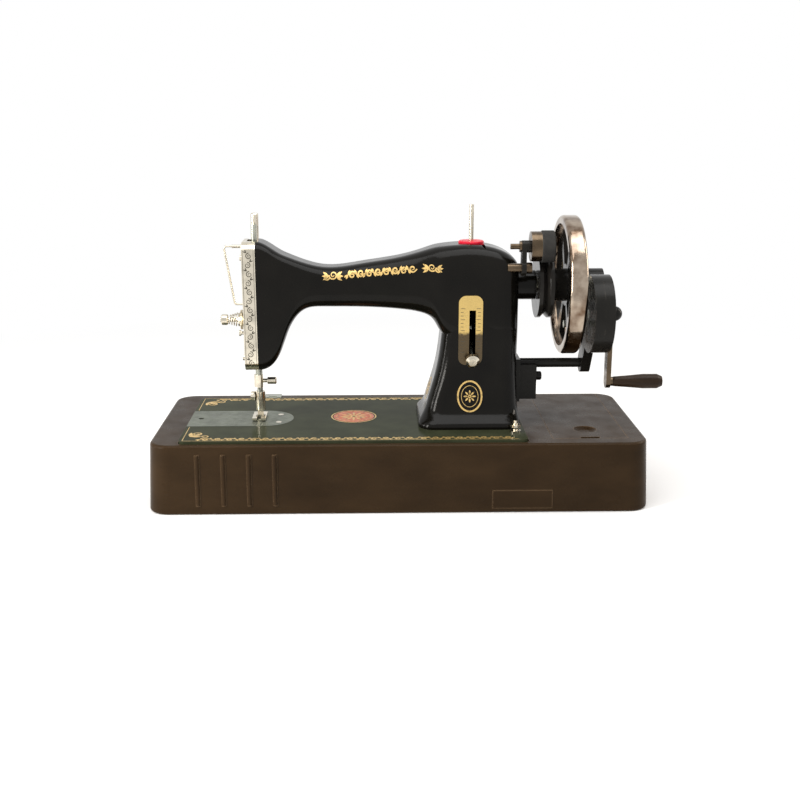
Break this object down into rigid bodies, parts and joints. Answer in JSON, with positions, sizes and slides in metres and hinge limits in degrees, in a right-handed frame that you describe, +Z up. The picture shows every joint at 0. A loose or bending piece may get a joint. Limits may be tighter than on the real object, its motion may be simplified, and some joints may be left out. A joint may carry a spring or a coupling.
{
  "type": "hand crank sewing machine",
  "caption": "Household flat-bed sewing machine with a geared hand crank, on a moulded portable base with a sliding compartment lid.",
  "frame": {"origin": "on the ground, under the middle of the base's footprint", "axes": "+X to the handwheel, +Y to the back, +Z up"},
  "size_m": [0.5563, 0.2178, 0.318],
  "materials": {
    "base_brown": "moulded brown plastic, satin gloss",
    "rubber": "black rubber",
    "japan_black": "gloss black japanned cast iron with gilt bands",
    "nickel": "nickel plate",
    "steel": "ground steel",
    "brass": "brushed brass",
    "red": "red disc",
    "gear_black": "black enamel",
    "grip_brown": "dark varnished wood"
  },
  "bodies": {
    "base": {"base_tub": "base_brown", "base_feet": "rubber", "hinge_leaves": "steel"},
    "lid": {"base_lid": "base_brown"},
    "head": {"bed": "japan_black", "arm_casting": "japan_black", "arm_bolts": "steel", "hinge_tongues": "steel", "needle_plate": "steel", "hook_race": "steel", "bobbin_case": "steel", "bobbin": "steel", "shaft_bushes": "brass", "back_cover": "nickel", "badge": "brass", "stitch_plate": "brass", "spool_pin": "nickel", "spool_disc": "red", "face_plate": "nickel", "take_up_guard": "nickel", "thread_guide": "nickel", "tension_stud": "nickel", "tension_discs": "nickel", "tension_spring": "nickel", "gear_case": "gear_black", "gear_case_cover": "gear_black", "crank_bracket": "gear_black", "bracket_screw": "nickel", "winder_stud": "nickel", "winder_guide": "nickel", "small_screws": "nickel"},
    "slide": {"slide_plate": "steel"},
    "hook": {"shuttle_hook": "steel"},
    "feed": {"feed_bar": "steel", "feed_dog": "steel"},
    "stitch": {"stitch_lever": "steel", "stitch_knob": "nickel"},
    "take_up": {"take_up_lever": "nickel"},
    "tension": {"tension_nut": "nickel"},
    "needle": {"needle_bar": "steel", "needle_clamp": "nickel", "clamp_screw": "nickel", "needle": "steel"},
    "presser": {"presser_bar": "steel", "presser_foot": "nickel", "foot_screw": "nickel"},
    "pressure": {"pressure_screw": "nickel"},
    "lifter": {"lifter_lever": "steel"},
    "wheel": {"handwheel": "gear_black", "arm_shaft": "steel", "needle_crank": "steel"},
    "stop": {"stop_motion_knob": "nickel"},
    "pinion": {"drive_pinion": "steel"},
    "crank": {"crank_gear": "steel", "crank_arm": "gear_black", "crank_nut": "nickel"},
    "grip": {"hand_grip": "grip_brown"},
    "winder": {"winder_frame": "gear_black"},
    "spindle": {"winder_spindle": "nickel", "winder_tyre": "rubber"}
  },
  "joints": [
    {"name": "head_tilt", "type": "hinge", "parent": "base", "child": "head", "pos_m": [0, 0.087, 0.074], "axis": [-1, 0, 0], "range_deg": [0, 75]},
    {"name": "lid_slide", "type": "slide", "parent": "base", "child": "lid", "axis": [0, 1, 0], "range_m": [0, 0.15]},
    {"name": "plate_slide", "type": "slide", "parent": "head", "child": "slide", "axis": [-1, 0, 0], "range_m": [0, 0.045]},
    {"name": "hook_swing", "type": "hinge", "parent": "head", "child": "hook", "pos_m": [0, -0.01, 0.041], "axis": [1, 0, 0], "range_deg": [-103, 103]},
    {"name": "feed_move", "type": "slide", "parent": "head", "child": "feed", "axis": [0, 1, 0], "range_m": [-0.002, 0.002]},
    {"name": "stitch_swing", "type": "hinge", "parent": "head", "child": "stitch", "pos_m": [0.08, 0.008, 0.179], "axis": [-1, 0, 0], "range_deg": [0, 44]},
    {"name": "take_up_swing", "type": "hinge", "parent": "head", "child": "take_up", "pos_m": [-0.165, 0.0095, 0.248], "axis": [1, 0, 0], "range_deg": [0, 84]},
    {"name": "tension_turn", "type": "hinge", "parent": "head", "child": "tension", "pos_m": [-0.19, -0.018, 0.194], "axis": [1, 0, 0], "range_deg": [-180, 180]},
    {"name": "needle_stroke", "type": "slide", "parent": "head", "child": "needle", "axis": [0, 0, 1], "range_m": [-0.024, 0.008]},
    {"name": "presser_lift", "type": "slide", "parent": "head", "child": "presser", "axis": [0, 0, 1], "range_m": [0, 0.006]},
    {"name": "pressure_turn", "type": "hinge", "parent": "head", "child": "pressure", "pos_m": [-0.156, 0.002, 0.289], "axis": [0, 0, 1], "range_deg": [-180, 180]},
    {"name": "lifter_turn", "type": "hinge", "parent": "head", "child": "lifter", "pos_m": [-0.143, 0.002, 0.167], "axis": [0, -1, 0], "range_deg": [0, 90]},
    {"name": "wheel_spin", "type": "hinge", "parent": "head", "child": "wheel", "pos_m": [0, -0.01, 0.23], "axis": [1, 0, 0], "continuous": true},
    {"name": "stop_turn", "type": "hinge", "parent": "wheel", "child": "stop", "pos_m": [0.19, -0.01, 0.23], "axis": [1, 0, 0], "range_deg": [-180, 0]},
    {"name": "pinion_spin", "type": "hinge", "parent": "head", "child": "pinion", "pos_m": [0.21, -0.01, 0.23], "axis": [1, 0, 0], "continuous": true},
    {"name": "crank_spin", "type": "hinge", "parent": "head", "child": "crank", "pos_m": [0.212, -0.051, 0.20504], "axis": [1, 0, 0], "continuous": true},
    {"name": "grip_spin", "type": "hinge", "parent": "crank", "child": "grip", "pos_m": [0.26, -0.051, 0.13004], "axis": [1, 0, 0], "continuous": true},
    {"name": "winder_swing", "type": "hinge", "parent": "head", "child": "winder", "pos_m": [0.134, -0.04, 0.253], "axis": [-1, 0, 0], "range_deg": [0, 6]},
    {"name": "spindle_spin", "type": "hinge", "parent": "winder", "child": "spindle", "pos_m": [0.14, -0.04, 0.276], "axis": [1, 0, 0], "continuous": true}
  ],
  "couplings": [
    {"joint": "pinion_spin", "follows": "wheel_spin", "ratio": 1},
    {"joint": "crank_spin", "follows": "wheel_spin", "ratio": -0.33333},
    {"joint": "lifter_turn", "follows": "presser_lift", "rad_per_m": 261}
  ]
}
